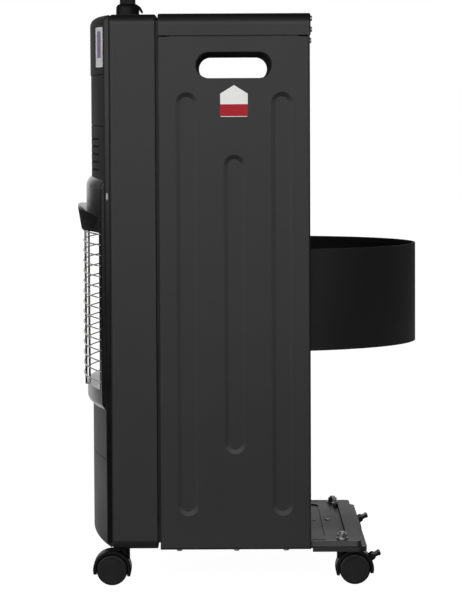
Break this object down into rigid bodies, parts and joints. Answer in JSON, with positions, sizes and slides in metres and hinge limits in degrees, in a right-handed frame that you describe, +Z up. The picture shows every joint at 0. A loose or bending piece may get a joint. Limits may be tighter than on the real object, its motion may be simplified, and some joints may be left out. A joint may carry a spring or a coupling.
{
  "type": "mobile gas cabinet heater",
  "caption": "Mobile propane cabinet heater on castors: bowed front with guarded radiant burners, open-backed cylinder bay with base plate and lift-off cylinder band, push-and-turn gas knob.",
  "frame": {"origin": "on the floor, under the middle of the heater's box", "axes": "+Z up, -Y to the bowed front, +X to the right seen from the front"},
  "size_m": [0.42, 0.4544, 0.7748],
  "materials": {
    "coated_steel": "charcoal fine-texture powder coat on pressed sheet steel",
    "gloss_trim": "satin black heat-resistant enamel",
    "chrome_wire": "bright plated wire",
    "stainless_steel": "thin stainless sheet, slightly heat tinted",
    "zinc_plated_steel": "bright zinc plate",
    "ceramic": "perforated cordierite ceramic",
    "brass": "turned brass",
    "copper_lead": "drawn copper capillary",
    "aluminium_casting": "die-cast, as cast",
    "aluminium_tube": "drawn tube",
    "black_plastic": "moulded, fine texture",
    "wheel_nylon": "moulded black nylon"
  },
  "bodies": {
    "cabinet": {"side_panel_right": "coated_steel", "side_panel_left": "coated_steel", "top_cover": "coated_steel", "rear_tie_bar": "coated_steel", "front_casing": "coated_steel", "corner_strips": "gloss_trim", "bezel_frame": "gloss_trim", "bezel_visor": "gloss_trim", "guard_wires": "chrome_wire", "guard_rods": "chrome_wire", "reflector_tray": "stainless_steel", "gas_manifold": "zinc_plated_steel", "manifold_brackets": "zinc_plated_steel", "gas_jets": "brass", "pilot_burner": "stainless_steel", "thermocouple": "copper_lead", "spark_electrode": "black_plastic", "gas_valve": "aluminium_casting", "gas_pipes": "aluminium_tube", "gas_inlet": "brass", "unit_back_plate": "coated_steel", "heat_shield": "stainless_steel", "knob_bezel": "black_plastic", "base_plate": "coated_steel", "castor_rail": "coated_steel", "band_keepers": "coated_steel", "castor_stems": "zinc_plated_steel", "fasteners": "zinc_plated_steel", "control_fascia": "coated_steel", "kick_panel": "coated_steel", "upper_front_panel": "coated_steel", "main_front_panel": "coated_steel", "burner_plaque_left": "ceramic", "burner_box_left": "stainless_steel", "burner_plaque_middle": "ceramic", "burner_box_middle": "stainless_steel", "burner_plaque_right": "ceramic", "burner_box_right": "stainless_steel"},
    "valve_plug": {"valve_plug": "brass"},
    "control_knob": {"control_knob": "black_plastic", "valve_spindle": "brass"},
    "cylinder_band": {"cylinder_band": "coated_steel"},
    "castor_front_left": {"castor_hood_front_left": "black_plastic", "castor_axle_front_left": "zinc_plated_steel"},
    "wheel_front_left_a": {"castor_wheel_front_left_a": "wheel_nylon"},
    "wheel_front_left_b": {"castor_wheel_front_left_b": "wheel_nylon"},
    "castor_rear_left": {"castor_hood_rear_left": "black_plastic", "castor_axle_rear_left": "zinc_plated_steel"},
    "wheel_rear_left_a": {"castor_wheel_rear_left_a": "wheel_nylon"},
    "wheel_rear_left_b": {"castor_wheel_rear_left_b": "wheel_nylon"},
    "brake_rear_left": {"brake_lever_rear_left": "black_plastic"},
    "castor_front_right": {"castor_hood_front_right": "black_plastic", "castor_axle_front_right": "zinc_plated_steel"},
    "wheel_front_right_a": {"castor_wheel_front_right_a": "wheel_nylon"},
    "wheel_front_right_b": {"castor_wheel_front_right_b": "wheel_nylon"},
    "castor_rear_right": {"castor_hood_rear_right": "black_plastic", "castor_axle_rear_right": "zinc_plated_steel"},
    "wheel_rear_right_a": {"castor_wheel_rear_right_a": "wheel_nylon"},
    "wheel_rear_right_b": {"castor_wheel_rear_right_b": "wheel_nylon"},
    "brake_rear_right": {"brake_lever_rear_right": "black_plastic"}
  },
  "joints": [
    {"name": "swivel_front_left", "type": "hinge", "parent": "cabinet", "child": "castor_front_left", "pos_m": [-0.175, -0.1619, 0.0467], "axis": [0, 0, 1], "continuous": true},
    {"name": "spin_front_left_a", "type": "hinge", "parent": "castor_front_left", "child": "wheel_front_left_a", "pos_m": [-0.18645, -0.1779, 0.02], "axis": [1, 0, 0], "continuous": true},
    {"name": "spin_front_left_b", "type": "hinge", "parent": "castor_front_left", "child": "wheel_front_left_b", "pos_m": [-0.16355, -0.1779, 0.02], "axis": [1, 0, 0], "continuous": true},
    {"name": "swivel_rear_left", "type": "hinge", "parent": "cabinet", "child": "castor_rear_left", "pos_m": [-0.175, 0.1211, 0.0467], "axis": [0, 0, 1], "continuous": true},
    {"name": "spin_rear_left_a", "type": "hinge", "parent": "castor_rear_left", "child": "wheel_rear_left_a", "pos_m": [-0.16355, 0.1371, 0.02], "axis": [1, 0, 0], "continuous": true},
    {"name": "spin_rear_left_b", "type": "hinge", "parent": "castor_rear_left", "child": "wheel_rear_left_b", "pos_m": [-0.18645, 0.1371, 0.02], "axis": [1, 0, 0], "continuous": true},
    {"name": "brake_rear_left", "type": "hinge", "parent": "castor_rear_left", "child": "brake_rear_left", "pos_m": [-0.175, 0.1605, 0.03519], "axis": [1, 0, 0], "range_deg": [-16, 0]},
    {"name": "swivel_front_right", "type": "hinge", "parent": "cabinet", "child": "castor_front_right", "pos_m": [0.175, -0.1619, 0.0467], "axis": [0, 0, 1], "continuous": true},
    {"name": "spin_front_right_a", "type": "hinge", "parent": "castor_front_right", "child": "wheel_front_right_a", "pos_m": [0.16355, -0.1779, 0.02], "axis": [1, 0, 0], "continuous": true},
    {"name": "spin_front_right_b", "type": "hinge", "parent": "castor_front_right", "child": "wheel_front_right_b", "pos_m": [0.18645, -0.1779, 0.02], "axis": [1, 0, 0], "continuous": true},
    {"name": "swivel_rear_right", "type": "hinge", "parent": "cabinet", "child": "castor_rear_right", "pos_m": [0.175, 0.1211, 0.0467], "axis": [0, 0, 1], "continuous": true},
    {"name": "spin_rear_right_a", "type": "hinge", "parent": "castor_rear_right", "child": "wheel_rear_right_a", "pos_m": [0.18645, 0.1371, 0.02], "axis": [1, 0, 0], "continuous": true},
    {"name": "spin_rear_right_b", "type": "hinge", "parent": "castor_rear_right", "child": "wheel_rear_right_b", "pos_m": [0.16355, 0.1371, 0.02], "axis": [1, 0, 0], "continuous": true},
    {"name": "brake_rear_right", "type": "hinge", "parent": "castor_rear_right", "child": "brake_rear_right", "pos_m": [0.175, 0.1605, 0.03519], "axis": [1, 0, 0], "range_deg": [-16, 0]},
    {"name": "knob_turn", "type": "hinge", "parent": "cabinet", "child": "valve_plug", "pos_m": [0, -0.159, 0.6945], "axis": [0, 0, 1], "range_deg": [0, 210]},
    {"name": "knob_press", "type": "slide", "parent": "valve_plug", "child": "control_knob", "axis": [0, 0, 1], "range_m": [-0.003, 0], "stiffness_N_per_m": 800, "springref_m": 0.001},
    {"name": "band_lift", "type": "slide", "parent": "cabinet", "child": "cylinder_band", "axis": [0, 0, 1], "range_m": [0, 0.012]}
  ]
}
